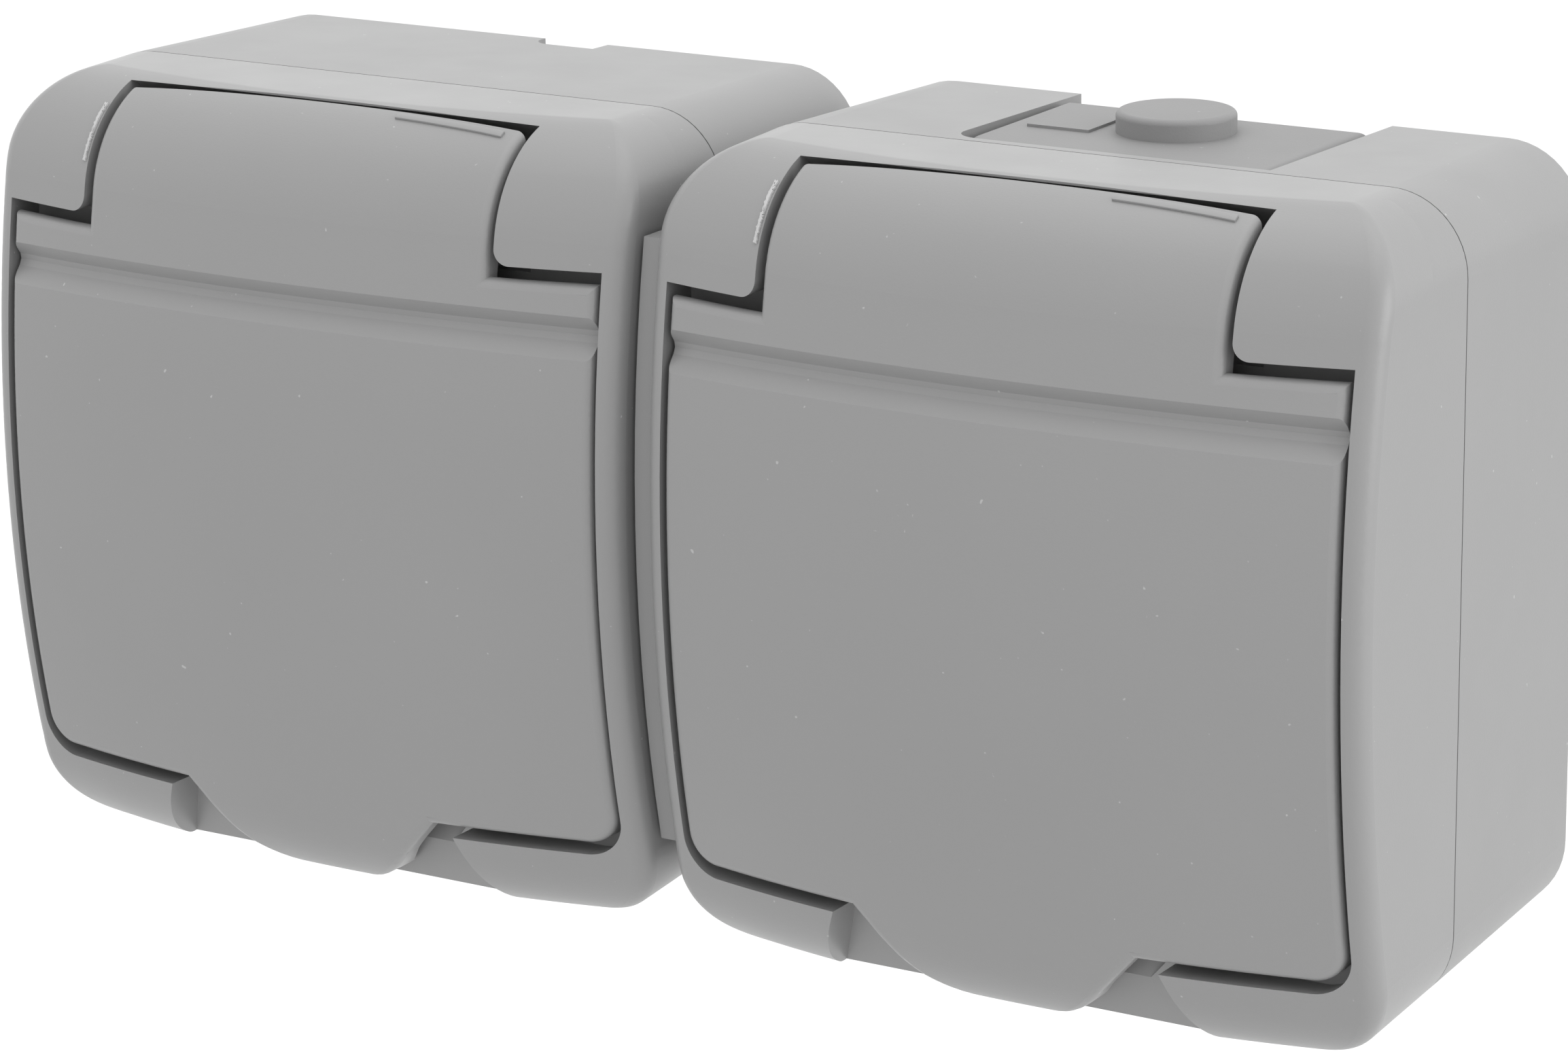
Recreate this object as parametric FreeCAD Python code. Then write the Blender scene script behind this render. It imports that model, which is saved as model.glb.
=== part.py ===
import FreeCAD, Part
import math
import os
from FreeCAD import Vector

# Double surface-mounted outdoor socket: one back box, two front covers, two spring-closed lids.
# Millimetres. X runs to the right, -Y points out of the wall towards the user, +Z is up.
# The origin is on the wall plane, midway between the two modules.

# Outline of one module, seen from the front, at the wall, at the seam and at the front
module_pitch = 71.0
back_half_width = 33.9
seam_half_width = 34.6
front_half_width = 33.8
roof_back = 34.4
roof_seam = 34.9
floor_back = -34.3
floor_seam = -35.3
floor_front = -38.6
corner_radius = 7.0
front_corner_radius = 8.5

# Depths measured from the wall
seam_depth = 24.5
front_depth = 46.0
section_depth = 48.0
seam_gap = 0.15

# Crowned front: bow in side view, bulge in plan view, rolls at the top and bottom
bow_radius = 138.0
bow_centre_z = 1.5
bulge_radius = 135.0
top_roll = 11.0
roof_break = 0.08
bottom_roll = 9.0
bottom_roll_z = -37.3
rim_fillet = 2.0

# Walls
box_wall = 2.2
box_floor = 2.5
recess_depth = 36.5
recess_wall = 1.8
lid_skin = 2.0

# Lid outline
lid_half_width = 31.7
lid_top = 22.4
lid_bottom = -28.6
lid_corner = 3.0
lid_edge_round = 0.9
lid_rim_width = 1.6
lid_rest_gap = 0.4
tab_half_width = 21.6
tongue_half_width = 13.6
tongue_drop = 8.6
tongue_flank_run = 3.4
tongue_flank_drop = 3.6
side_gap = 0.5
bottom_gap = 1.1
shoulder_gap = 1.2
shoulder_corner = 1.5
tab_gap = 0.7
slot_depth = 35.0

# Groove across the lid
groove_top = 20.2
groove_floor = 18.6
groove_bottom = 16.4
groove_depth = 1.2
groove_tilt = 7.7

# Lid hinge
hinge_depth = 38.3
hinge_z = 26.0
pin_radius = 1.0
pin_running_clearance = 0.06
pin_seat_clearance = 0.02
pin_half_length = 26.5
knuckle_radius = 3.0
knuckle_width = 3.0
knuckle_places = (-18.5, -6.5, 6.5, 18.5)
sweep_radius = 9.2
pocket_wall = 2.0
sweep_floor_z = 21.8
wing_chamfer = 1.5

# Return spring round the hinge pin
spring_wire_radius = 0.35
spring_coil_radius = 1.8
spring_turns = 6
spring_lid_leg = 3.8
spring_cover_leg = 8.2

# Socket well and its contacts
well_centre_z = -3.5
well_radius = 21.5
well_wall = 1.5
well_mouth_depth = 37.5
well_length = 17.5
well_floor = 2.0
well_clearance = 0.3
pin_spacing = 19.0
pin_hole_radius = 2.7
sleeve_radius = 2.9
sleeve_bore = 2.45
sleeve_clearance = 0.1
guide_width = 5.0
guide_height = 2.2
centre_screw_radius = 1.6

# Lid seal ring and the rib that holds it
seal_ring_radius = 24.3
seal_ring_width = 1.6
seal_ring_depth = 38.9
seal_rest_gap = 0.2
seal_rib_wall = 0.9
seal_rib_depth = 38.2

# Contact block behind the well
block_half_width = 19.8
block_half_height = 13.5
block_back_depth = 6.0
ear_length = 6.5
ear_height = 9.0
ear_thickness = 4.0
terminal_size = 6.5
terminal_length = 8.0
terminal_x = 15.4
terminal_offset_z = 7.2
terminal_clearance = 0.15
terminal_screw_radius = 1.5

# Earth clip: strap across the block and two spring fingers in the well
clip_thickness = 0.7
clip_width = 6.0
clip_half_span = 20.6
clip_inward = 1.6
clip_clearance = 0.2
clip_tip_depth = 34.5

# Fasteners
cover_screw_places = ((-24.7, 15.5), (24.7, -22.5))
cover_screw_radius = 1.75
cover_screw_head_radius = 3.2
cover_screw_head = 2.2
cover_screw_tip_depth = 12.0
post_radius = 3.5
pilot_radius = 1.75
screw_hole_clearance = 0.35
block_screw_x = 23.6
block_screw_tip_depth = 3.5
block_screw_head_radius = 2.7
block_screw_head = 1.9
drive_slot_width = 0.8
drive_slot_depth = 1.0
cover_screw_edge = 0.5
well_screw_head_radius = 3.0
well_screw_head = 1.4
wall_hole_x = 20.0
wall_hole_z = 27.0
wall_hole_radius = 2.2

# Joining web between the modules
web_thickness = 1.7
web_front_depth = 39.6
web_top = 26.5
web_bottom = -28.0
web_core_half = 2.2
wire_hole_radius = 6.0
wire_hole_depth = 12.0

# Seal between back box and cover
gasket_width = 0.8
gasket_depth = 1.2
gasket_clearance = 0.05

# Cable entry in the roof of the right module, and the small notch in each back rim
entry_left = -14.2
entry_right = 16.1
entry_front_depth = 23.3
entry_level = 33.3
entry_corner = 2.5
grommet_side_gap = 0.5
grommet_top = 34.5
grommet_round = 0.9
grommet_neck = 3.5
grommet_lip = 1.2
disc_x = 1.0
disc_depth = 11.0
disc_radius = 5.2
disc_height = 1.9
disc_round = 0.5
patch_height = 0.25
notch_left = -0.3
notch_right = 6.7
notch_depth = 2.6
notch_height = 1.6
notch_corner = 2.0

# Finger scoop in the cover around the lid's tongue
scoop_top_half = 14.8
scoop_bottom_half = 19.5
scoop_top_z = -27.5
scoop_bottom_z = -39.0
scoop_top_depth = 38.5
scoop_bottom_depth = 33.5

AXIS_X = Vector(1, 0, 0)
AXIS_Y = Vector(0, 1, 0)
AXIS_Z = Vector(0, 0, 1)
SIDES = {"left": -module_pitch / 2, "right": module_pitch / 2}


def box(x0, x1, y0, y1, z0, z1):
    """Block between two corners."""
    return Part.makeBox(x1 - x0, y1 - y0, z1 - z0, Vector(x0, y0, z0))


def bar(x, z, radius, y0, y1):
    """Round bar along Y from y0 to y1."""
    return Part.makeCylinder(radius, y1 - y0, Vector(x, y0, z), AXIS_Y)


def cross_bar(y, z, radius, x0, x1):
    """Round bar along X from x0 to x1."""
    return Part.makeCylinder(radius, x1 - x0, Vector(x0, y, z), AXIS_X)


def rounded_section(y, half_width, low, high, radius):
    """Rounded rectangle in a plane parallel to the wall."""
    cut = radius * (1 - math.sqrt(0.5))
    corners = ((half_width, high, -1, -1), (half_width, low, -1, 1),
               (-half_width, low, 1, 1), (-half_width, high, 1, -1))
    arcs = []
    for turn, (x, z, sx, sz) in enumerate(corners):
        along_x = Vector(x + sx * radius, y, z)
        middle = Vector(x + sx * cut, y, z + sz * cut)
        along_z = Vector(x, y, z + sz * radius)
        first, last = (along_x, along_z) if turn % 2 == 0 else (along_z, along_x)
        arcs.append(Part.Arc(first, middle, last).toShape())
    edges = []
    for index, arc in enumerate(arcs):
        following = arcs[(index + 1) % len(arcs)]
        edges.append(arc)
        edges.append(Part.makeLine(arc.lastVertex().Point, following.firstVertex().Point))
    return Part.Wire(edges)


def half_shell(y0, section0, y1, section1, inset=0.0):
    """Drafted body between two rounded sections, each pulled in by the inset."""
    wires = []
    for y, (half_width, low, high, radius) in ((y0, section0), (y1, section1)):
        wires.append(rounded_section(y, half_width - inset, low + inset, high - inset,
                                     max(radius - inset, 1.0)))
    return Part.makeLoft(wires, True, True)


BACK_SECTION = (back_half_width, floor_back, roof_back, corner_radius)
SEAM_SECTION = (seam_half_width, floor_seam, roof_seam, corner_radius)
FRONT_SECTION = (front_half_width, floor_front, roof_seam, front_corner_radius)


def side_profile(inset):
    """Side view of the crowned front: roof, top roll, bow, bottom roll and underside."""
    bow_y = bow_radius - front_depth
    radius = bow_radius - inset

    def roll_centre(z, roll):
        return bow_y - math.sqrt((bow_radius - roll) ** 2 - (z - bow_centre_z) ** 2), z

    def on_arc(centre, arc_radius, angle):
        return Vector(0, centre[0] - arc_radius * math.cos(angle), centre[1] + arc_radius * math.sin(angle))

    bow = (bow_y, bow_centre_z)
    roof = roof_seam + roof_break
    top = roll_centre(roof - top_roll, top_roll)
    low = roll_centre(bottom_roll_z + bottom_roll, bottom_roll)
    top_angle = math.atan2(top[1] - bow[1], bow[0] - top[0])
    low_angle = math.atan2(low[1] - bow[1], bow[0] - low[0])
    up = math.pi / 2
    rear = -seam_depth / 2
    roof_rear = Vector(0, rear, roof - inset)
    floor_rear = Vector(0, rear, bottom_roll_z + inset)
    roof_end = on_arc(top, top_roll - inset, up)
    bow_top = on_arc(bow, radius, top_angle)
    bow_low = on_arc(bow, radius, low_angle)
    floor_end = on_arc(low, bottom_roll - inset, -up)
    edges = [
        Part.makeLine(roof_rear, roof_end),
        Part.Arc(roof_end, on_arc(top, top_roll - inset, (up + top_angle) / 2), bow_top).toShape(),
        Part.Arc(bow_top, on_arc(bow, radius, (top_angle + low_angle) / 2), bow_low).toShape(),
        Part.Arc(bow_low, on_arc(low, bottom_roll - inset, (low_angle - up) / 2), floor_end).toShape(),
        Part.makeLine(floor_end, floor_rear),
        Part.makeLine(floor_rear, roof_rear)]
    return Part.Face(Part.Wire(edges))


def crown(inset=0.0):
    """Body whose front is bowed in side view and bulged in plan, offset inwards by the inset."""
    sweep = 40.0
    centre = Vector(0, bulge_radius - front_depth, 0)
    face = side_profile(inset)
    face.rotate(centre, AXIS_Z, -sweep / 2)
    return face.revolve(centre, AXIS_Z, sweep)


def lid_outline(grow_side, grow_top, grow_bottom, grow_tab, corner):
    """Front view of the lid: plate with a tab at the top and a round tongue below."""
    half = lid_half_width + grow_side
    top = lid_top + grow_top
    low = lid_bottom - grow_bottom
    tab = tab_half_width + grow_tab
    reach = tongue_half_width + grow_bottom
    inner = reach - tongue_flank_run
    shoulder = low - tongue_flank_drop
    tip = low - tongue_drop
    cut = corner * (1 - math.sqrt(0.5))
    above = roof_seam + 5.0

    def p(x, z):
        return Vector(x, 0, z)

    edges = [
        Part.makeLine(p(-tab, above), p(tab, above)),
        Part.makeLine(p(tab, above), p(tab, top)),
        Part.makeLine(p(tab, top), p(half, top)),
        Part.makeLine(p(half, top), p(half, low + corner)),
        Part.Arc(p(half, low + corner), p(half - cut, low + cut), p(half - corner, low)).toShape(),
        Part.makeLine(p(half - corner, low), p(reach, low)),
        Part.makeLine(p(reach, low), p(inner, shoulder)),
        Part.Arc(p(inner, shoulder), p(0, tip), p(-inner, shoulder)).toShape(),
        Part.makeLine(p(-inner, shoulder), p(-reach, low)),
        Part.makeLine(p(-reach, low), p(-half + corner, low)),
        Part.Arc(p(-half + corner, low), p(-half + cut, low + cut), p(-half, low + corner)).toShape(),
        Part.makeLine(p(-half, low + corner), p(-half, top)),
        Part.makeLine(p(-half, top), p(-tab, top)),
        Part.makeLine(p(-tab, top), p(-tab, above))]
    return Part.Face(Part.Wire(edges))


def prism(face, y0, y1):
    """Face in the XZ plane pushed along Y from y0 to y1."""
    moved = face.translated(Vector(0, y0, 0))
    return moved.extrude(Vector(0, y1 - y0, 0))


def front_rim_edges(shape):
    """The two bowed edges where the flanks meet the crowned front."""
    chosen = []
    for edge in shape.Edges:
        bounds = edge.BoundBox
        tall = bounds.ZLength > module_pitch / 3
        forward = bounds.YMin < -recess_depth and bounds.YMax < -seam_depth
        if tall and forward and abs(edge.CenterOfMass.x) > lid_half_width:
            chosen.append(edge)
    return chosen


def cover_envelope():
    """Outside of a front cover before anything is cut from it."""
    body = half_shell(-seam_depth - seam_gap, SEAM_SECTION, -section_depth, FRONT_SECTION)
    body = body.common(crown())
    return body.makeFillet(rim_fillet, front_rim_edges(body))


def finger_scoop():
    """Slanted recess in the lower band, widening and deepening downwards."""
    wires = []
    for z, half, depth in ((scoop_top_z, scoop_top_half, scoop_top_depth),
                           (scoop_bottom_z, scoop_bottom_half, scoop_bottom_depth)):
        points = [Vector(-half, -depth, z), Vector(half, -depth, z),
                  Vector(half, -section_depth, z), Vector(-half, -section_depth, z)]
        wires.append(Part.makePolygon(points + points[:1]))
    return Part.makeLoft(wires, True, True)


def lid_recess():
    """Space the lid shuts into, with rounded lower corners on both shoulders."""
    outline = lid_outline(side_gap, shoulder_gap, bottom_gap, tab_gap, lid_corner + side_gap)
    recess = prism(outline, -section_depth, -recess_depth)
    tab_half = tab_half_width + tab_gap
    corners = [edge for edge in recess.Edges
               if edge.BoundBox.ZLength < 0.1 and edge.BoundBox.XLength < 0.1
               and abs(abs(edge.CenterOfMass.x) - tab_half) < 0.1
               and abs(edge.CenterOfMass.z - lid_top - shoulder_gap) < 0.1]
    return recess.makeFillet(shoulder_corner, corners)


def hinge_pocket():
    """Space in which the lid's tab turns, between the shoulders and under the roof's edge."""
    tab_half = tab_half_width + tab_gap
    high = roof_seam + pocket_wall
    front = box(-tab_half, tab_half, -section_depth, -slot_depth, sweep_floor_z, high)
    turn = cross_bar(-hinge_depth, hinge_z, sweep_radius, -tab_half, tab_half)
    return front.fuse(turn.common(box(-tab_half, tab_half, -section_depth, 0, sweep_floor_z, high)))


def cover_cavity():
    """Hollow behind the recess floor, and behind the wall of the hinge pocket."""
    deep = half_shell(-seam_depth + 1, SEAM_SECTION, -recess_depth + recess_wall, SEAM_SECTION, box_wall)
    reach = seam_half_width
    deep = deep.common(box(-reach, reach, -section_depth, 0, floor_seam, sweep_floor_z - pocket_wall))
    pocket_back = -hinge_depth + sweep_radius + pocket_wall
    shallow = half_shell(-seam_depth + 1, SEAM_SECTION, pocket_back, SEAM_SECTION, box_wall)
    return deep.fuse(shallow)


def make_cover():
    """Front cover: rim, shoulders, lid recess, well aperture, screw columns and finger scoop."""
    cover = cover_envelope().cut(lid_recess()).cut(hinge_pocket()).cut(cover_cavity())
    for x, z in cover_screw_places:
        cover = cover.fuse(bar(x, z, post_radius, -recess_depth, -seam_depth - seam_gap))
    cover = cover.cut(finger_scoop())
    cover = cover.cut(bar(0, well_centre_z, well_radius + well_wall + well_clearance,
                          -section_depth, -seam_depth))
    for x, z in cover_screw_places:
        cover = cover.cut(bar(x, z, cover_screw_radius + screw_hole_clearance, -section_depth, 0))
    pin_seat = pin_half_length + pin_seat_clearance
    cover = cover.cut(cross_bar(-hinge_depth, hinge_z, pin_radius + pin_seat_clearance, -pin_seat, pin_seat))
    return cover.removeSplitter()


def front_at(z):
    """Y of the crowned front on the module's centre line at a height below the top roll."""
    return bow_radius - front_depth - math.sqrt(bow_radius ** 2 - (z - bow_centre_z) ** 2)


def swept_round_front(points):
    """Ring that follows the bulge of the front, from its section in the YZ plane."""
    sweep = 40.0
    face = Part.Face(Part.makePolygon(points + points[:1]))
    centre = Vector(0, bulge_radius - front_depth, 0)
    face.rotate(centre, AXIS_Z, -sweep / 2)
    return face.revolve(centre, AXIS_Z, sweep)


def groove_cutter():
    """Channel across the lid: steep upper side, round floor and long lower slope."""
    surface = front_at(groove_floor)
    outside = surface - 1.5
    floor = surface + groove_depth
    points = [Vector(0, outside, groove_top), Vector(0, surface, groove_top),
              Vector(0, floor - 0.2, groove_floor + 0.5), Vector(0, floor, groove_floor),
              Vector(0, floor - 0.2, groove_floor - 0.6), Vector(0, surface, groove_bottom),
              Vector(0, outside, groove_bottom)]
    cutter = swept_round_front(points)
    cutter.rotate(Vector(0, surface, groove_floor), AXIS_X, -groove_tilt)
    return cutter


def wing_chamfer_cutter(side):
    """Thins the top edge of a wing from behind, so it turns clear of the shoulder."""
    surface = front_at(lid_top)
    high = lid_top + 1
    low = lid_top - wing_chamfer - 0.6
    behind = surface + lid_skin + 3
    points = [Vector(0, surface + lid_skin - wing_chamfer, high), Vector(0, behind, high),
              Vector(0, behind, low), Vector(0, surface + lid_skin, low)]
    inner = side * tab_half_width
    outer = side * (lid_half_width + 1)
    wing = box(min(inner, outer), max(inner, outer), -section_depth, 0, low - 1, high)
    return swept_round_front(points).common(wing)


def lid_outline_edges(shape):
    """Front edges of the lid's solid outline, without the seams between its curved faces."""
    chosen = []
    for edge in shape.Edges:
        bounds = edge.BoundBox
        forward = bounds.YMax < -slot_depth - tab_gap - 0.1
        level = bounds.ZLength < 0.01
        on_outline = abs(bounds.ZMin - lid_top) < 0.05 or abs(bounds.ZMin - lid_bottom) < 0.05
        if forward and (on_outline or not level):
            chosen.append(edge)
    return chosen


def lid_rim():
    """Wall that stands back from the skin round the plate, open at the top."""
    half = lid_half_width
    low = lid_bottom
    outer = box(-half, half, -section_depth, -recess_depth - lid_rest_gap, low, groove_bottom)
    inner_half = half - lid_rim_width
    inner = box(-inner_half, inner_half, -section_depth, 0, low + lid_rim_width, lid_top)
    for shape_half, shape in ((half, outer), (inner_half, inner)):
        corners = [edge for edge in shape.Edges
                   if edge.BoundBox.ZMax < low + lid_rim_width + 0.1 and edge.BoundBox.XLength < 0.1
                   and edge.BoundBox.ZLength < 0.1]
        rounded = shape.makeFillet(lid_corner, corners)
        if shape is outer:
            outer = rounded
        else:
            inner = rounded
    return outer.cut(inner).common(crown(lid_skin / 2))


def lid_knuckles():
    """Eyes for the hinge pin, each on an arm under the tab."""
    limit = cross_bar(-hinge_depth, hinge_z, sweep_radius - 0.7, -tab_half_width, tab_half_width)
    space = limit.common(crown(lid_skin / 2))
    eyes = []
    for place in knuckle_places:
        x0 = place - knuckle_width / 2
        x1 = place + knuckle_width / 2
        eye = cross_bar(-hinge_depth, hinge_z, knuckle_radius, x0, x1)
        arm = box(x0, x1, -section_depth, -hinge_depth + knuckle_radius, hinge_z, roof_seam)
        eyes.append(eye.fuse(arm).common(space))
    return eyes


def lid_seal_rib():
    """Ring inside the lid whose groove holds the seal."""
    half = seal_ring_width / 2 + seal_rib_wall
    rib = bar(0, well_centre_z, seal_ring_radius + half, -section_depth, -seal_rib_depth)
    rib = rib.cut(bar(0, well_centre_z, seal_ring_radius - half, -section_depth, 0))
    rib = rib.common(crown(lid_skin / 2))
    return rib.common(box(-lid_half_width, lid_half_width, -section_depth, 0, lid_bottom, lid_top - 0.5))


def make_lid():
    """Lid: crowned skin with a rim wall, tab, hinge knuckles and the rib for its seal."""
    outline = lid_outline(0, 0, 0, 0, lid_corner)
    block = crown().common(prism(outline, -section_depth, -slot_depth - tab_gap))
    block = block.makeFillet(lid_edge_round, lid_outline_edges(block))
    lid = block.cut(crown(lid_skin)).fuse(lid_rim())
    for eye in lid_knuckles():
        lid = lid.fuse(eye)
    lid = lid.fuse(lid_seal_rib()).cut(seal_ring(-seal_ring_depth)).cut(groove_cutter())
    for side in (-1, 1):
        lid = lid.cut(wing_chamfer_cutter(side))
    bore = pin_radius + pin_running_clearance
    lid = lid.cut(cross_bar(-hinge_depth, hinge_z, bore, -tab_half_width, tab_half_width))
    return lid.removeSplitter()


def seal_ring(back):
    """Ring that closes the gap round the well when the lid is shut."""
    outer = seal_ring_radius + seal_ring_width / 2
    inner = seal_ring_radius - seal_ring_width / 2
    front = -recess_depth - seal_rest_gap
    ring = bar(0, well_centre_z, outer, back, front)
    return ring.cut(bar(0, well_centre_z, inner, back, front))


def make_hinge_pin():
    """Steel pin on which the lid turns, held in both shoulders."""
    return cross_bar(-hinge_depth, hinge_z, pin_radius, -pin_half_length, pin_half_length)


def make_back_box():
    """Back box of both modules in one moulding, with web, posts, cable entry and wall holes."""
    shell = None
    for offset in SIDES.values():
        outer = half_shell(0, BACK_SECTION, -seam_depth, SEAM_SECTION)
        inner = half_shell(-box_floor, BACK_SECTION, -seam_depth - 1, SEAM_SECTION, box_wall)
        one = outer.cut(inner)
        for x, z in cover_screw_places:
            one = one.fuse(bar(x, z, post_radius, -seam_depth, -box_floor / 2))
        for side in (-1, 1):
            one = one.fuse(bar(side * block_screw_x, well_centre_z, post_radius, -block_seat_depth(),
                               -box_floor / 2))
        for x, z in cover_screw_places:
            one = one.cut(bar(x, z, pilot_radius, -seam_depth - 1, -cover_screw_tip_depth + 1))
        for side in (-1, 1):
            one = one.cut(bar(side * block_screw_x, well_centre_z, terminal_screw_radius,
                              -seam_depth, -block_screw_tip_depth + 0.5))
        one = one.cut(notch_cutter())
        one.translate(Vector(offset, 0, 0))
        shell = one if shell is None else shell.fuse(one)
    core = box(-web_core_half, web_core_half, -seam_depth, 0, web_bottom, web_top)
    shell = shell.fuse(core).fuse(joining_strip())
    for offset in SIDES.values():
        shell = shell.cut(gasket_ring(gasket_clearance).translated(Vector(offset, 0, 0)))
    shell = shell.cut(cross_bar(-wire_hole_depth, 0, wire_hole_radius, -module_pitch / 4, module_pitch / 4))
    for side in (-1, 1):
        for level in (-1, 1):
            x = side * (module_pitch / 2 + wall_hole_x)
            shell = shell.cut(bar(x, level * wall_hole_z, wall_hole_radius, -box_floor - 1, 1))
    right = SIDES["right"]
    shell = shell.cut(entry_recess().translated(Vector(right, 0, 0)))
    shell = shell.cut(entry_hole(0).translated(Vector(right, 0, 0)))
    return shell.removeSplitter()


def joining_strip():
    """Thin upright strip between the covers, with its front edge bowed like the rims."""
    centre_y = bow_radius - web_front_depth

    def edge_point(z):
        return Vector(-web_thickness / 2, centre_y - math.sqrt(bow_radius ** 2 - (z - bow_centre_z) ** 2), z)

    top = edge_point(web_top)
    low = edge_point(web_bottom)
    rear_top = Vector(top.x, -seam_depth + 1, web_top)
    rear_low = Vector(low.x, -seam_depth + 1, web_bottom)
    middle = edge_point((web_top + web_bottom) / 2)
    edges = [Part.Arc(top, middle, low).toShape(), Part.makeLine(low, rear_low),
             Part.makeLine(rear_low, rear_top), Part.makeLine(rear_top, top)]
    return Part.Face(Part.Wire(edges)).extrude(Vector(web_thickness, 0, 0))


def notch_cutter():
    """Small notch in the roof's rear edge, rounded at its left end."""
    notch = box(notch_left, notch_right, -notch_depth, 1, roof_back - notch_height, roof_seam + 1)
    rounding = [edge for edge in notch.Edges
                if edge.BoundBox.XMax < notch_left + 0.1 and edge.BoundBox.YMax < -notch_depth + 0.1
                and edge.BoundBox.ZLength > 1]
    return notch.makeFillet(notch_corner, rounding)


def gasket_ring(clearance):
    """Gasket in the middle of the back box's rim."""
    middle = box_wall / 2
    front = -seam_depth - seam_gap + 0.02
    depth = gasket_depth + clearance
    outer = half_shell(front, SEAM_SECTION, front + depth, SEAM_SECTION,
                       middle - gasket_width / 2 - clearance)
    inner = half_shell(front - 1, SEAM_SECTION, front + depth + 1, SEAM_SECTION,
                       middle + gasket_width / 2 + clearance)
    return outer.cut(inner)


def entry_recess():
    """Level flat sunk in the roof of the right module, open to the wall."""
    flat = box(entry_left, entry_right, -entry_front_depth, 1, entry_level, roof_seam + 5)
    corner = [edge for edge in flat.Edges
              if edge.BoundBox.ZLength > 1 and edge.BoundBox.YMax < -entry_front_depth + 0.1
              and edge.BoundBox.XMax < entry_left + 0.1]
    return flat.makeFillet(entry_corner, corner)


def entry_hole(clearance):
    """Opening in the roof that the grommet's neck passes through."""
    half = disc_radius + grommet_neck
    return box(disc_x - half + clearance, disc_x + half - clearance,
               -disc_depth - half + 1 + clearance, -disc_depth + half - 1 - clearance,
               entry_level - 6, entry_level + 1)


def make_cable_grommet():
    """Rubber cable seal: plate on the flat, neck through the roof, inner lip and knock-out disc."""
    plate = box(entry_left + grommet_side_gap, entry_right - grommet_side_gap,
                -entry_front_depth + grommet_side_gap, -notch_depth - 1, entry_level, grommet_top)
    corner = [edge for edge in plate.Edges
              if edge.BoundBox.ZLength > 1 and edge.BoundBox.XMax < entry_left + grommet_side_gap + 0.1
              and edge.BoundBox.YMax < -entry_front_depth + grommet_side_gap + 0.1]
    plate = plate.makeFillet(entry_corner, corner)
    upper = [edge for edge in plate.Edges if edge.BoundBox.ZMin > grommet_top - 0.1]
    plate = plate.makeFillet(grommet_round, upper)
    neck = entry_hole(0.05)
    wall_under = roof_seam - box_wall - 1.2
    neck = neck.common(box(-40, 40, -40, 0, wall_under - grommet_lip, entry_level + 0.5))
    half = disc_radius + grommet_neck
    lip = box(disc_x - half - 1, disc_x + half + 1, -disc_depth - half + 0.5, -disc_depth + half - 1,
              wall_under - grommet_lip, wall_under - 0.1)
    disc = Part.makeCylinder(disc_radius, disc_height + 0.5, Vector(disc_x, -disc_depth, grommet_top - 0.5))
    rim = [edge for edge in disc.Edges if edge.BoundBox.ZMin > grommet_top + disc_height - 0.1]
    disc = disc.makeFillet(disc_round, rim)
    patch = box(entry_left + 3, disc_x - disc_radius - 1, -entry_front_depth + 8, -entry_front_depth + 13,
                grommet_top - 0.2, grommet_top + patch_height)
    grommet = plate.fuse(neck).fuse(lip).fuse(disc).fuse(patch)
    return grommet.removeSplitter()


def block_front_depth():
    """Depth of the contact block's front face, behind the well's floor."""
    return well_mouth_depth - well_length - well_floor


def block_seat_depth():
    """Depth at which the contact block's ears rest on the posts of the back box."""
    return block_back_depth + ear_thickness


def make_socket_well():
    """Round well that takes the plug, with pin holes, earth slots and side guides."""
    outer = well_radius + well_wall
    floor_y = -well_mouth_depth + well_length
    well = bar(0, well_centre_z, outer, -well_mouth_depth, floor_y + well_floor)
    well = well.cut(bar(0, well_centre_z, well_radius, -well_mouth_depth - 1, floor_y))
    for side in (-1, 1):
        inner = side * (well_radius - guide_height)
        wall = side * (well_radius + well_wall / 2)
        guide = box(min(inner, wall), max(inner, wall), -well_mouth_depth + 2, floor_y,
                    well_centre_z - guide_width / 2, well_centre_z + guide_width / 2)
        well = well.fuse(guide)
    for side in (-1, 1):
        well = well.cut(bar(side * pin_spacing / 2, well_centre_z, pin_hole_radius, floor_y - 1, 0))
    well = well.cut(bar(0, well_centre_z, centre_screw_radius + 0.2, floor_y - 1, 0))
    slot_half = clip_width / 2 + clip_clearance
    for side in (-1, 1):
        low = side * (clip_half_span - clip_thickness - 0.4)
        high = side * (clip_half_span + 0.4)
        well = well.cut(box(-slot_half, slot_half, floor_y - 0.5, 0,
                            well_centre_z + min(low, high), well_centre_z + max(low, high)))
    return well.removeSplitter()


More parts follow.
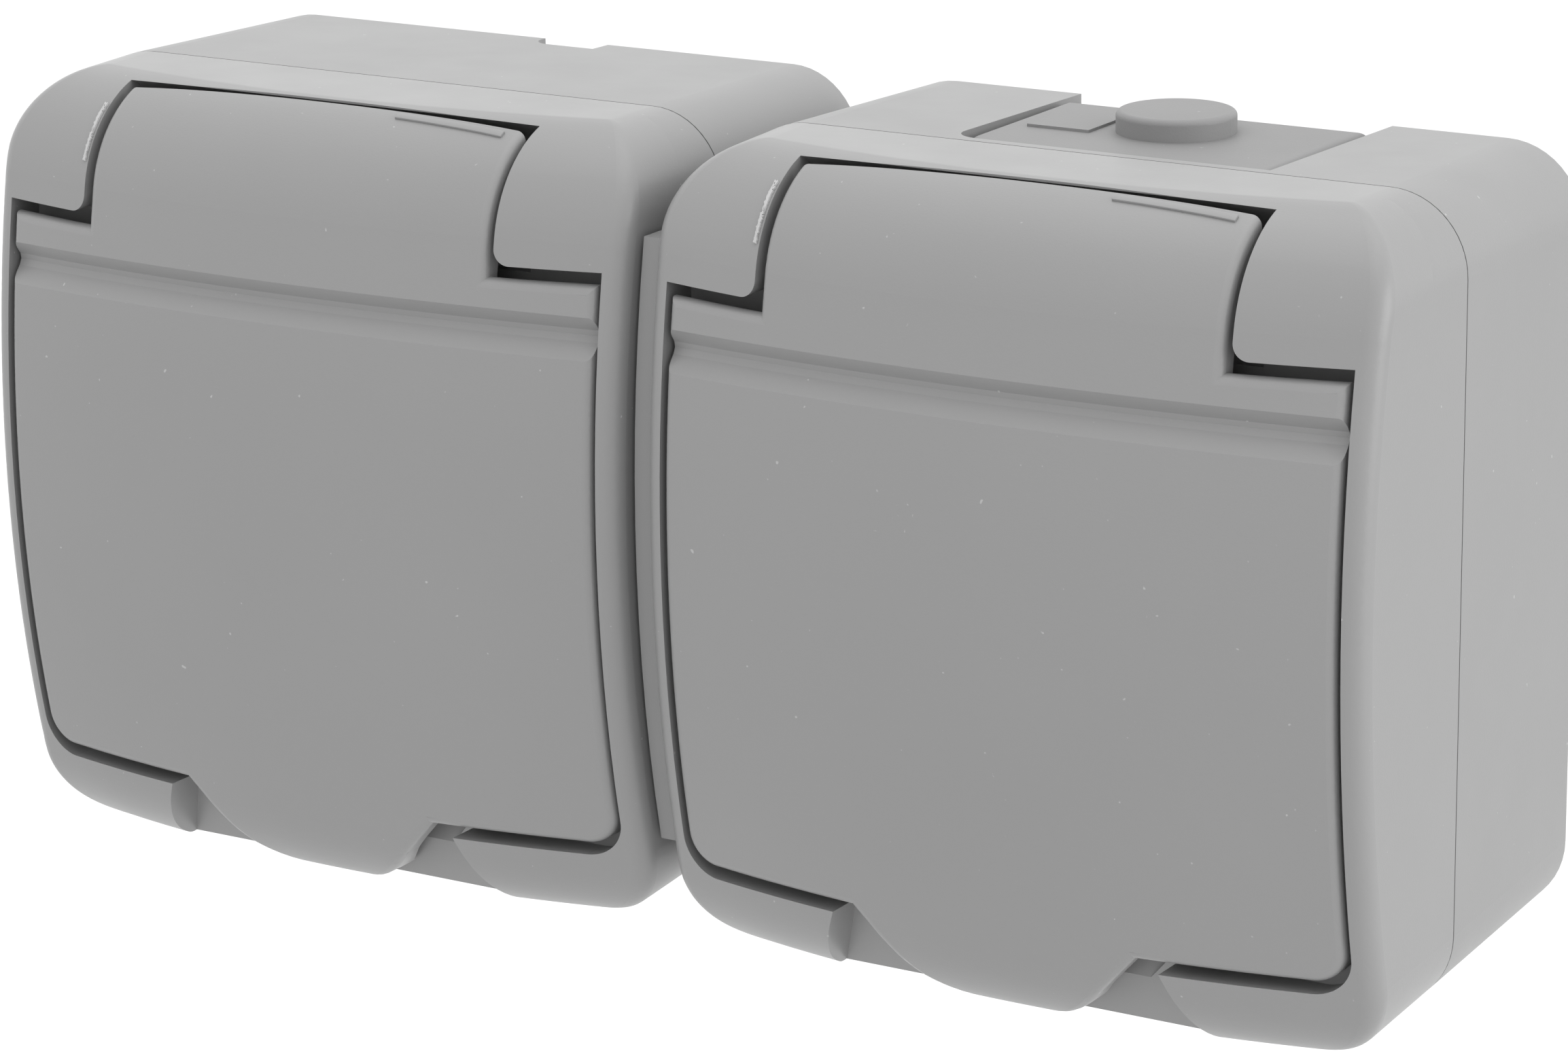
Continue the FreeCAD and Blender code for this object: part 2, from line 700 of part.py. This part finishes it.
def make_contact_block():
    """Insulating block behind the well: contact chambers, terminal chambers and two ears."""
    front = -block_front_depth()
    back = -block_back_depth
    block = box(-block_half_width, block_half_width, front, back,
                well_centre_z - block_half_height, well_centre_z + block_half_height)
    upright = [edge for edge in block.Edges if edge.BoundBox.YLength > 1]
    block = block.makeFillet(3.0, upright)
    reach = block_screw_x + ear_length / 2
    ears = box(-reach, reach, -block_seat_depth(), back,
               well_centre_z - ear_height / 2, well_centre_z + ear_height / 2)
    ears.translate(Vector(0, -ear_thickness, 0))
    block = block.fuse(ears)
    for side in (-1, 1):
        x = side * pin_spacing / 2
        block = block.cut(bar(x, well_centre_z, sleeve_radius + sleeve_clearance, front - 1, back - 1.5))
        for cavity in (terminal_box(side, terminal_clearance), terminal_link(side, terminal_clearance)):
            block = block.cut(cavity)
        block = block.cut(bar(side * block_screw_x, well_centre_z, terminal_screw_radius + 0.2, -40, 0))
        access = terminal_screw_bar(side, 0.2)
        block = block.cut(access).cut(access.translated(Vector(0, 0, block_half_height / 2)))
    block = block.cut(bar(0, well_centre_z, centre_screw_radius, front - 1, back - 2))
    strap_half = clip_width / 2 + clip_clearance
    block = block.cut(box(-strap_half, strap_half, front - 1, front + clip_thickness + 0.1,
                          well_centre_z - block_half_height - 1, well_centre_z + block_half_height + 1))
    return block.removeSplitter()


def terminal_box(side, grow):
    """Space of one clamping terminal above its contact sleeve, open to the top of the block."""
    x = side * terminal_x
    half = terminal_size / 2 + grow
    centre = well_centre_z + terminal_offset_z
    middle = -(block_front_depth() + block_back_depth) / 2
    length = terminal_length / 2 + grow
    return box(x - half, x + half, middle - length, middle + length, centre - half, centre + half)


def terminal_link(side, grow):
    """Space of the strip between a contact sleeve and its terminal."""
    x0 = side * pin_spacing / 2
    x1 = side * terminal_x
    middle = -(block_front_depth() + block_back_depth) / 2
    return box(min(x0, x1) - 1 - grow, max(x0, x1) + 1 + grow, middle - 2 - grow, middle + 2 + grow,
               well_centre_z + 1.8, well_centre_z + terminal_offset_z - terminal_size / 2 + grow + 0.5)


def make_contacts():
    """Live and neutral contacts: split sleeve, strip and clamping terminal, one for each pin."""
    solids = []
    front = -block_front_depth() + 0.3
    back = -block_back_depth - 1.8
    for side in (-1, 1):
        x = side * pin_spacing / 2
        sleeve = bar(x, well_centre_z, sleeve_radius, front, back)
        contact = sleeve.fuse(terminal_link(side, 0)).fuse(terminal_box(side, 0))
        contact = contact.cut(bar(x, well_centre_z, sleeve_bore, front - 1, back))
        contact = contact.cut(box(x - 0.4, x + 0.4, front - 1, back + 1,
                                  well_centre_z - sleeve_radius - 1, well_centre_z))
        centre = well_centre_z + terminal_offset_z
        tx = side * terminal_x
        wire_way = terminal_size / 2 - 1.2
        middle = -(block_front_depth() + block_back_depth) / 2
        contact = contact.cut(box(tx - wire_way, tx + wire_way, middle - 10, middle + 10,
                                  centre - wire_way, centre + wire_way - 0.6))
        contact = contact.cut(terminal_screw_bar(side, 0.02))
        solids.append(contact.removeSplitter())
    return Part.makeCompound(solids)


def terminal_screw_bar(side, grow):
    """Threaded shank of a terminal screw, standing upright in its terminal."""
    middle = -(block_front_depth() + block_back_depth) / 2
    low = well_centre_z + terminal_offset_z + 0.4
    return Part.makeCylinder(terminal_screw_radius + grow, block_half_height - terminal_offset_z - 1,
                             Vector(side * terminal_x, middle, low), AXIS_Z)


def make_earth_clip():
    """Earth clip: strap in the block's front and two fingers that press on the plug's edge."""
    y0 = -block_front_depth()
    tip = -clip_tip_depth
    bend = (y0 + tip) / 2 - 2
    half = clip_half_span
    t = clip_thickness
    outer = [(y0 + t, half), (y0 - 3, half), (bend, half - clip_inward), (tip, half)]
    inner = [(tip, half - t), (bend, half - clip_inward - t), (y0 - 3, half - t), (y0, half - t)]
    upper = outer + inner
    lower = [(y, -z) for y, z in reversed(upper)]
    points = [Vector(-clip_width / 2, y, well_centre_z + z) for y, z in upper + lower]
    face = Part.Face(Part.makePolygon(points + points[:1]))
    clip = face.extrude(Vector(clip_width, 0, 0))
    return clip.cut(bar(0, well_centre_z, centre_screw_radius + 0.1, -40, 0))


def slotted_screw(x, z, shank_radius, head_radius, head_height, head_back, tip):
    """Screw along Y with a round slotted head; its shank ends at the tip."""
    shank = bar(x, z, shank_radius, head_back - 0.1, tip)
    head = bar(x, z, head_radius, head_back - head_height, head_back)
    rim = [edge for edge in head.Edges if edge.BoundBox.YMax < head_back - head_height + 0.1]
    head = head.makeFillet(min(cover_screw_edge, head_height / 3), rim)
    slot = box(x - head_radius, x + head_radius, head_back - head_height - 1,
               head_back - head_height + drive_slot_depth, z - drive_slot_width / 2, z + drive_slot_width / 2)
    return head.fuse(shank).cut(slot)


def make_cover_screws():
    """Two screws in each cover, in opposite corners under the lid."""
    screws = []
    for offset in SIDES.values():
        for x, z in cover_screw_places:
            screws.append(slotted_screw(x + offset, z, cover_screw_radius, cover_screw_head_radius,
                                        cover_screw_head, -recess_depth, -cover_screw_tip_depth))
    return Part.makeCompound(screws)


def make_block_screws():
    """Two screws that hold each contact block on the posts of the back box."""
    screws = []
    for offset in SIDES.values():
        for side in (-1, 1):
            screws.append(slotted_screw(offset + side * block_screw_x, well_centre_z, terminal_screw_radius,
                                        block_screw_head_radius, block_screw_head,
                                        -block_seat_depth() - ear_thickness, -block_screw_tip_depth))
    return Part.makeCompound(screws)


def make_well_screws():
    """Central screw that holds each well and its earth clip on the contact block."""
    screws = []
    for offset in SIDES.values():
        screws.append(slotted_screw(offset, well_centre_z, centre_screw_radius,
                                    well_screw_head_radius, well_screw_head,
                                    -well_mouth_depth + well_length, -block_back_depth - 2.2))
    return Part.makeCompound(screws)


def make_terminal_screws():
    """Clamping screw of each live and neutral terminal."""
    screws = []
    for offset in SIDES.values():
        for side in (-1, 1):
            screw = terminal_screw_bar(side, 0)
            top = screw.BoundBox.ZMax
            slot = box(-40, 40, screw.BoundBox.Center.y - 0.3, screw.BoundBox.Center.y + 0.3,
                       top - 0.8, top + 1)
            screws.append(screw.cut(slot).translated(Vector(offset, 0, 0)))
    return Part.makeCompound(screws)


def make_lid_spring():
    """Close-wound torsion spring round the hinge pin, one leg in the lid and one in the cover."""
    wire = spring_wire_radius
    start = -spring_turns * wire
    inner = spring_coil_radius - wire
    edges = []
    for turn in range(spring_turns):
        x = start + 2 * wire * turn
        edges.append(Part.Arc(Vector(x, spring_coil_radius, 0),
                              Vector(x + wire, spring_coil_radius + wire, 0),
                              Vector(x + 2 * wire, spring_coil_radius, 0)).toShape())
    end = start + 2 * wire * spring_turns
    corners = [Vector(end, spring_coil_radius, 0), Vector(end, inner, 0),
               Vector(start, inner, 0), Vector(start, spring_coil_radius, 0)]
    for first, second in zip(corners, corners[1:]):
        edges.append(Part.makeLine(first, second))
    coil = Part.Face(Part.Wire(edges)).revolve(Vector(0, 0, 0), AXIS_X, 360)
    lid_leg = Part.makeCylinder(wire, spring_lid_leg, Vector(end - wire, -spring_coil_radius, 0), -AXIS_Z)
    cover_leg = Part.makeCylinder(wire, spring_cover_leg, Vector(start + wire, 0, spring_coil_radius), AXIS_Y)
    spring = coil.fuse(lid_leg).fuse(cover_leg)
    return spring.translated(Vector(0, -hinge_depth, hinge_z))


os.makedirs("parts", exist_ok=True)


def export(shape, name):
    shape.exportStep("parts/" + name + ".step")


export(make_back_box(), "back_box")
export(make_cable_grommet().translated(Vector(SIDES["right"], 0, 0)), "cable_grommet")
PER_MODULE = {
    "front_cover": make_cover,
    "cover_gasket": lambda: gasket_ring(0),
    "lid": make_lid,
    "lid_seal": lambda: seal_ring(-seal_ring_depth),
    "hinge_pin": make_hinge_pin,
    "lid_spring": make_lid_spring,
    "socket_well": make_socket_well,
    "contact_block": make_contact_block,
    "contacts": make_contacts,
    "earth_clip": make_earth_clip}
for name, maker in PER_MODULE.items():
    piece = maker()
    for side, offset in SIDES.items():
        export(piece.translated(Vector(offset, 0, 0)), name + "_" + side)
export(make_cover_screws(), "cover_screws")
export(make_block_screws(), "block_screws")
export(make_well_screws(), "well_screws")
export(make_terminal_screws(), "terminal_screws")
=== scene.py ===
import bpy
import math
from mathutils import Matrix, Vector


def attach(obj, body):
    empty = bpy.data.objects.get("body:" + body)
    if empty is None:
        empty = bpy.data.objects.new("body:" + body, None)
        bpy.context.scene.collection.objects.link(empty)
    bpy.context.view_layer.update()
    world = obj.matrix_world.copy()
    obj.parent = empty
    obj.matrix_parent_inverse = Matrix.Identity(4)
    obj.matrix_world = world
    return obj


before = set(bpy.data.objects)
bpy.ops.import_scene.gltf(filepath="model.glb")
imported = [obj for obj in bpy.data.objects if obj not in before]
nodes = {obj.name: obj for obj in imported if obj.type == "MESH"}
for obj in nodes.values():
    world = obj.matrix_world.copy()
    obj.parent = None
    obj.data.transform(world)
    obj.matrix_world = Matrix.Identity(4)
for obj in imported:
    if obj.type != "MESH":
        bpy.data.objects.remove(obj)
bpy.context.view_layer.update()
for solid in nodes.values():
    solid.select_set(False)


# The photograph's view.
# A product shot from the right and a little above, with a long lens and no tilt of the lens plane.
view_place = Vector((0.2495, -0.4208, 0.1290))
view_turn = (math.radians(74.285), math.radians(0.707), math.radians(31.484))
bpy.ops.object.camera_add(location=view_place, rotation=view_turn)
photo_camera = bpy.context.object
photo_camera.name = "photo_camera"
photo_camera.data.sensor_width = 36.0
photo_camera.data.lens = 125.97
photo_camera.data.clip_start = 0.01
photo_camera.data.clip_end = 20.0
bpy.context.scene.camera = photo_camera


# Floor and light.
# A plain pale studio sweep under the part. An even white surround gives most of the light, with one
# large soft panel above and one on the right that brightens the flank.
floor_level = -0.25
floor_width = 6.0
surround_strength = 1.45
bpy.ops.mesh.primitive_plane_add(size=floor_width, location=(0.0, 0.0, floor_level))
floor = bpy.context.object
floor.name = "studio_floor"
pale = bpy.data.materials.new("pale_floor")
pale.use_nodes = True
pale_shader = pale.node_tree.nodes["Principled BSDF"]
pale_shader.inputs["Base Color"].default_value = (0.7, 0.7, 0.7, 1.0)
pale_shader.inputs["Roughness"].default_value = 0.85
floor.data.materials.append(pale)
sky = bpy.data.worlds.new("studio_surround")
bpy.context.scene.world = sky
sky.use_nodes = True
sky.node_tree.nodes["Background"].inputs["Color"].default_value = (1.0, 1.0, 1.0, 1.0)
sky.node_tree.nodes["Background"].inputs["Strength"].default_value = surround_strength
for light_name, place, aim, width, power in (
        ("top_panel", (0.0, 0.1, 0.9), (0.0, -0.02, 0.0), 0.9, 2.4),
        ("right_panel", (1.0, 0.1, 0.2), (0.05, -0.02, 0.0), 0.7, 4.6)):
    bpy.ops.object.light_add(type="AREA", location=place)
    panel = bpy.context.object
    panel.name = light_name
    panel.data.size = width
    panel.data.energy = power
    panel.rotation_euler = (Vector(aim) - Vector(place)).to_track_quat("-Z", "Y").to_euler()
bpy.context.scene.view_settings.view_transform = "Standard"


# Back box.
# One moulding in mid-grey thermoplastic for both modules, with the thin web between them. It comes
# from a polished tool, so its skin is satin with faint flow marks, and it is screwed to the wall.
def moulded_plastic(name, colour, roughness, grain, flow):
    skin = bpy.data.materials.new(name)
    skin.use_nodes = True
    tree = skin.node_tree
    shader = tree.nodes["Principled BSDF"]
    place = tree.nodes.new("ShaderNodeTexCoord")
    clouds = tree.nodes.new("ShaderNodeTexNoise")
    clouds.inputs["Scale"].default_value = 28.0
    clouds.inputs["Detail"].default_value = 3.0
    clouds.inputs["Roughness"].default_value = 0.55
    tree.links.new(place.outputs["Object"], clouds.inputs["Vector"])
    tint = tree.nodes.new("ShaderNodeValToRGB")
    tint.color_ramp.elements[0].position = 0.3
    tint.color_ramp.elements[0].color = [c * (1.0 - flow) for c in colour] + [1.0]
    tint.color_ramp.elements[1].position = 0.7
    tint.color_ramp.elements[1].color = [c * (1.0 + flow) for c in colour] + [1.0]
    tree.links.new(clouds.outputs["Fac"], tint.inputs["Fac"])
    dust = tree.nodes.new("ShaderNodeTexNoise")
    dust.inputs["Scale"].default_value = 1500.0
    dust.inputs["Detail"].default_value = 1.0
    tree.links.new(place.outputs["Object"], dust.inputs["Vector"])
    speck = tree.nodes.new("ShaderNodeMapRange")
    speck.inputs["From Min"].default_value = 0.79
    speck.inputs["From Max"].default_value = 0.83
    speck.inputs["To Max"].default_value = 0.3
    tree.links.new(dust.outputs["Fac"], speck.inputs["Value"])
    dusty = tree.nodes.new("ShaderNodeMix")
    dusty.data_type = "RGBA"
    dusty.inputs["B"].default_value = (0.6, 0.6, 0.6, 1.0)
    tree.links.new(speck.outputs["Result"], dusty.inputs["Factor"])
    tree.links.new(tint.outputs["Color"], dusty.inputs["A"])
    tree.links.new(dusty.outputs["Result"], shader.inputs["Base Color"])
    haze = tree.nodes.new("ShaderNodeTexNoise")
    haze.inputs["Scale"].default_value = 120.0
    haze.inputs["Detail"].default_value = 4.0
    tree.links.new(place.outputs["Object"], haze.inputs["Vector"])
    sheen = tree.nodes.new("ShaderNodeMapRange")
    sheen.inputs["To Min"].default_value = roughness - 0.05
    sheen.inputs["To Max"].default_value = roughness + 0.06
    tree.links.new(haze.outputs["Fac"], sheen.inputs["Value"])
    tree.links.new(sheen.outputs["Result"], shader.inputs["Roughness"])
    spark = tree.nodes.new("ShaderNodeTexNoise")
    spark.inputs["Scale"].default_value = 5200.0
    spark.inputs["Detail"].default_value = 2.0
    tree.links.new(place.outputs["Object"], spark.inputs["Vector"])
    waves = tree.nodes.new("ShaderNodeTexNoise")
    waves.inputs["Scale"].default_value = 260.0
    waves.inputs["Detail"].default_value = 1.0
    tree.links.new(place.outputs["Object"], waves.inputs["Vector"])
    fine = tree.nodes.new("ShaderNodeBump")
    fine.inputs["Strength"].default_value = grain
    fine.inputs["Distance"].default_value = 0.00002
    tree.links.new(spark.outputs["Fac"], fine.inputs["Height"])
    broad = tree.nodes.new("ShaderNodeBump")
    broad.inputs["Strength"].default_value = 0.25
    broad.inputs["Distance"].default_value = 0.00006
    tree.links.new(waves.outputs["Fac"], broad.inputs["Height"])
    tree.links.new(fine.outputs["Normal"], broad.inputs["Normal"])
    tree.links.new(broad.outputs["Normal"], shader.inputs["Normal"])
    shader.inputs["Specular IOR Level"].default_value = 0.45
    return skin


def dress(solid, material):
    for entry in solid.material_slots:
        entry.material = material


box_grey = moulded_plastic(
    "box_grey", (0.201, 0.201, 0.201), roughness=0.42, grain=0.35, flow=0.02)
dress(nodes["back_box"], box_grey)


# Cable grommet.
# Soft grey elastomer, moulded separately and pressed into the roof of the right module. It is a
# little duller than the housing.
grommet_grey = moulded_plastic(
    "grommet_grey", (0.187, 0.187, 0.187), roughness=0.62, grain=0.9, flow=0.03)
dress(nodes["cable_grommet"], grommet_grey)


# Front covers.
# Grey mouldings screwed to the back box with a gasket between, smoother on their crowned fronts
# than the box behind them.
cover_grey = moulded_plastic(
    "cover_grey", (0.206, 0.206, 0.206), roughness=0.36, grain=0.3, flow=0.018)
for side in ("left", "right"):
    dress(nodes["front_cover_" + side], cover_grey)


# Lids.
# Each lid is one grey thermoplastic moulding with a fine satin skin, from the tab at its top to the
# round tongue. It hangs on its steel pin by eyes under the tab.
lid_grey = moulded_plastic(
    "lid_grey", (0.209, 0.209, 0.209), roughness=0.4, grain=0.45, flow=0.015)
for side in ("left", "right"):
    dress(nodes["lid_" + side], lid_grey)


# Flash on the shoulders.
# A torn sliver of thermoplastic left along the inner edge of each left shoulder, where the two
# halves of the cover's mould meet. It is thinner and paler than the skin around it.
sliver_width = 0.0003
sliver_height = 0.0046
sliver_level = 0.0304
sliver_set_out = 0.02272
sliver_thickness = 0.00022
ragged_by = 0.00012
before_the_front = -0.07
torn_grey = moulded_plastic(
    "torn_grey", (0.36, 0.36, 0.36), roughness=0.5, grain=0.8, flow=0.08)
for side, centre_x in (("left", -0.0355), ("right", 0.0355)):
    for chosen in bpy.context.selected_objects:
        chosen.select_set(False)
    bpy.ops.mesh.primitive_grid_add(x_subdivisions=3, y_subdivisions=46, size=1.0)
    sliver = bpy.context.object
    sliver.name = "shoulder_flash_" + side
    sliver.scale = (sliver_width, sliver_height, 1.0)
    sliver.rotation_euler = (math.radians(90.0), 0.0, 0.0)
    sliver.location = (centre_x - sliver_set_out, before_the_front, sliver_level)
    bpy.ops.object.transform_apply(location=True, rotation=True, scale=True)
    bpy.ops.object.mode_set(mode="EDIT")
    bpy.ops.mesh.select_all(action="SELECT")
    bpy.ops.transform.vertex_random(offset=ragged_by, uniform=0.0, normal=0.0, seed=4)
    bpy.ops.object.mode_set(mode="OBJECT")
    lay = sliver.modifiers.new("lay", "SHRINKWRAP")
    lay.target = nodes["front_cover_" + side]
    lay.wrap_method = "PROJECT"
    lay.use_project_y = True
    lay.use_positive_direction = True
    lay.use_negative_direction = False
    torn_edge = sliver.modifiers.new("torn_edge", "SOLIDIFY")
    torn_edge.thickness = sliver_thickness
    torn_edge.offset = 0.6
    for step in ("lay", "torn_edge"):
        bpy.ops.object.modifier_apply(modifier=step)
    bpy.ops.object.mode_set(mode="EDIT")
    bpy.ops.mesh.select_all(action="SELECT")
    bpy.ops.mesh.normals_make_consistent(inside=False)
    bpy.ops.object.mode_set(mode="OBJECT")
    bpy.ops.object.shade_smooth_by_angle(angle=math.radians(50.0))
    sliver.data.materials.append(torn_grey)
    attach(sliver, "housing")


# Moulding marks on the tabs.
# A thin raised bar on the right half of each tab's rear edge, left by an insert in the mould. It is
# part of the lid's moulding and turns with it.
bar_length = 0.0112
bar_width = 0.0007
bar_height = 0.0003
bar_edge_round = 0.00008
bar_set_out = 0.0142
bar_depth = -0.03655
above_the_tab = 0.06
for side, centre_x in (("left", -0.0355), ("right", 0.0355)):
    for chosen in bpy.context.selected_objects:
        chosen.select_set(False)
    bpy.ops.mesh.primitive_grid_add(x_subdivisions=24, y_subdivisions=2, size=1.0)
    bar = bpy.context.object
    bar.name = "tab_bar_" + side
    bar.scale = (bar_length, bar_width, 1.0)
    bar.location = (centre_x + bar_set_out, bar_depth, above_the_tab)
    bpy.ops.object.transform_apply(location=True, rotation=True, scale=True)
    lay = bar.modifiers.new("lay", "SHRINKWRAP")
    lay.target = nodes["lid_" + side]
    lay.wrap_method = "PROJECT"
    lay.use_project_z = True
    lay.use_positive_direction = False
    lay.use_negative_direction = True
    raised = bar.modifiers.new("raised", "SOLIDIFY")
    raised.thickness = bar_height
    raised.offset = 0.5
    soft = bar.modifiers.new("soft", "BEVEL")
    soft.width = bar_edge_round
    soft.segments = 2
    soft.limit_method = "ANGLE"
    for step in ("lay", "raised", "soft"):
        bpy.ops.object.modifier_apply(modifier=step)
    bpy.ops.object.shade_smooth_by_angle(angle=math.radians(40.0))
    bar.data.materials.append(lid_grey)
    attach(bar, side + "_lid")


# Seals and gaskets.
# Black sealing rubber of plain section. A gasket is pressed into the rim of each half of the back
# box, and a ring into the groove of the rib inside each lid.
def sealing_rubber(name):
    rubber = bpy.data.materials.new(name)
    rubber.use_nodes = True
    tree = rubber.node_tree
    shader = tree.nodes["Principled BSDF"]
    place = tree.nodes.new("ShaderNodeTexCoord")
    bloom = tree.nodes.new("ShaderNodeTexNoise")
    bloom.inputs["Scale"].default_value = 400.0
    bloom.inputs["Detail"].default_value = 5.0
    tree.links.new(place.outputs["Object"], bloom.inputs["Vector"])
    shade = tree.nodes.new("ShaderNodeValToRGB")
    shade.color_ramp.elements[0].color = (0.018, 0.018, 0.018, 1.0)
    shade.color_ramp.elements[1].color = (0.045, 0.045, 0.044, 1.0)
    tree.links.new(bloom.outputs["Fac"], shade.inputs["Fac"])
    tree.links.new(shade.outputs["Color"], shader.inputs["Base Color"])
    nap = tree.nodes.new("ShaderNodeBump")
    nap.inputs["Strength"].default_value = 0.4
    nap.inputs["Distance"].default_value = 0.00005
    tree.links.new(bloom.outputs["Fac"], nap.inputs["Height"])
    tree.links.new(nap.outputs["Normal"], shader.inputs["Normal"])
    shader.inputs["Roughness"].default_value = 0.75
    return rubber


black_rubber = sealing_rubber("black_rubber")
for side in ("left", "right"):
    dress(nodes["cover_gasket_" + side], black_rubber)
    dress(nodes["lid_seal_" + side], black_rubber)


# Plug wells.
# Cups in the same grey thermoplastic, polished smoother because the plug slides in them. One screw
# in the middle holds each on the block behind it.
well_grey = moulded_plastic(
    "well_grey", (0.225, 0.225, 0.225), roughness=0.33, grain=0.2, flow=0.015)
for side in ("left", "right"):
    dress(nodes["socket_well_" + side], well_grey)


# Contact blocks.
# Off-white insulating mouldings that carry the contacts behind the wells. Two screws hold each on
# posts of the back box.
block_white = moulded_plastic(
    "block_white", (0.62, 0.61, 0.57), roughness=0.5, grain=0.5, flow=0.03)
for side in ("left", "right"):
    dress(nodes["contact_block_" + side], block_white)


# Metal parts.
# Brass contacts stamped from strip, earth clips bent from nickel-plated spring strip, and drawn or
# turned pins, springs and screws of zinc-plated steel, which hold the mouldings together.
def drawn_metal(name, dark, light, roughness):
    metal = bpy.data.materials.new(name)
    metal.use_nodes = True
    tree = metal.node_tree
    shader = tree.nodes["Principled BSDF"]
    place = tree.nodes.new("ShaderNodeTexCoord")
    stretch = tree.nodes.new("ShaderNodeMapping")
    stretch.inputs["Scale"].default_value = (1.0, 8.0, 8.0)
    tree.links.new(place.outputs["Object"], stretch.inputs["Vector"])
    lines = tree.nodes.new("ShaderNodeTexNoise")
    lines.inputs["Scale"].default_value = 300.0
    lines.inputs["Detail"].default_value = 4.0
    tree.links.new(stretch.outputs["Vector"], lines.inputs["Vector"])
    shade = tree.nodes.new("ShaderNodeValToRGB")
    shade.color_ramp.elements[0].color = list(dark) + [1.0]
    shade.color_ramp.elements[1].color = list(light) + [1.0]
    tree.links.new(lines.outputs["Fac"], shade.inputs["Fac"])
    tree.links.new(shade.outputs["Color"], shader.inputs["Base Color"])
    sheen = tree.nodes.new("ShaderNodeMapRange")
    sheen.inputs["To Min"].default_value = roughness - 0.07
    sheen.inputs["To Max"].default_value = roughness + 0.08
    tree.links.new(lines.outputs["Fac"], sheen.inputs["Value"])
    tree.links.new(sheen.outputs["Result"], shader.inputs["Roughness"])
    shader.inputs["Metallic"].default_value = 1.0
    return metal


stamped_brass = drawn_metal(
    "stamped_brass", dark=(0.5, 0.34, 0.12), light=(0.72, 0.53, 0.25), roughness=0.35)
nickel_strip = drawn_metal(
    "nickel_strip", dark=(0.5, 0.48, 0.42), light=(0.68, 0.66, 0.6), roughness=0.3)
zinc_steel = drawn_metal(
    "zinc_steel", dark=(0.48, 0.49, 0.5), light=(0.68, 0.69, 0.7), roughness=0.33)
for side in ("left", "right"):
    dress(nodes["contacts_" + side], stamped_brass)
    dress(nodes["earth_clip_" + side], nickel_strip)
    dress(nodes["hinge_pin_" + side], zinc_steel)
    dress(nodes["lid_spring_" + side], zinc_steel)
for screws in ("cover_screws", "block_screws", "well_screws", "terminal_screws"):
    dress(nodes[screws], zinc_steel)
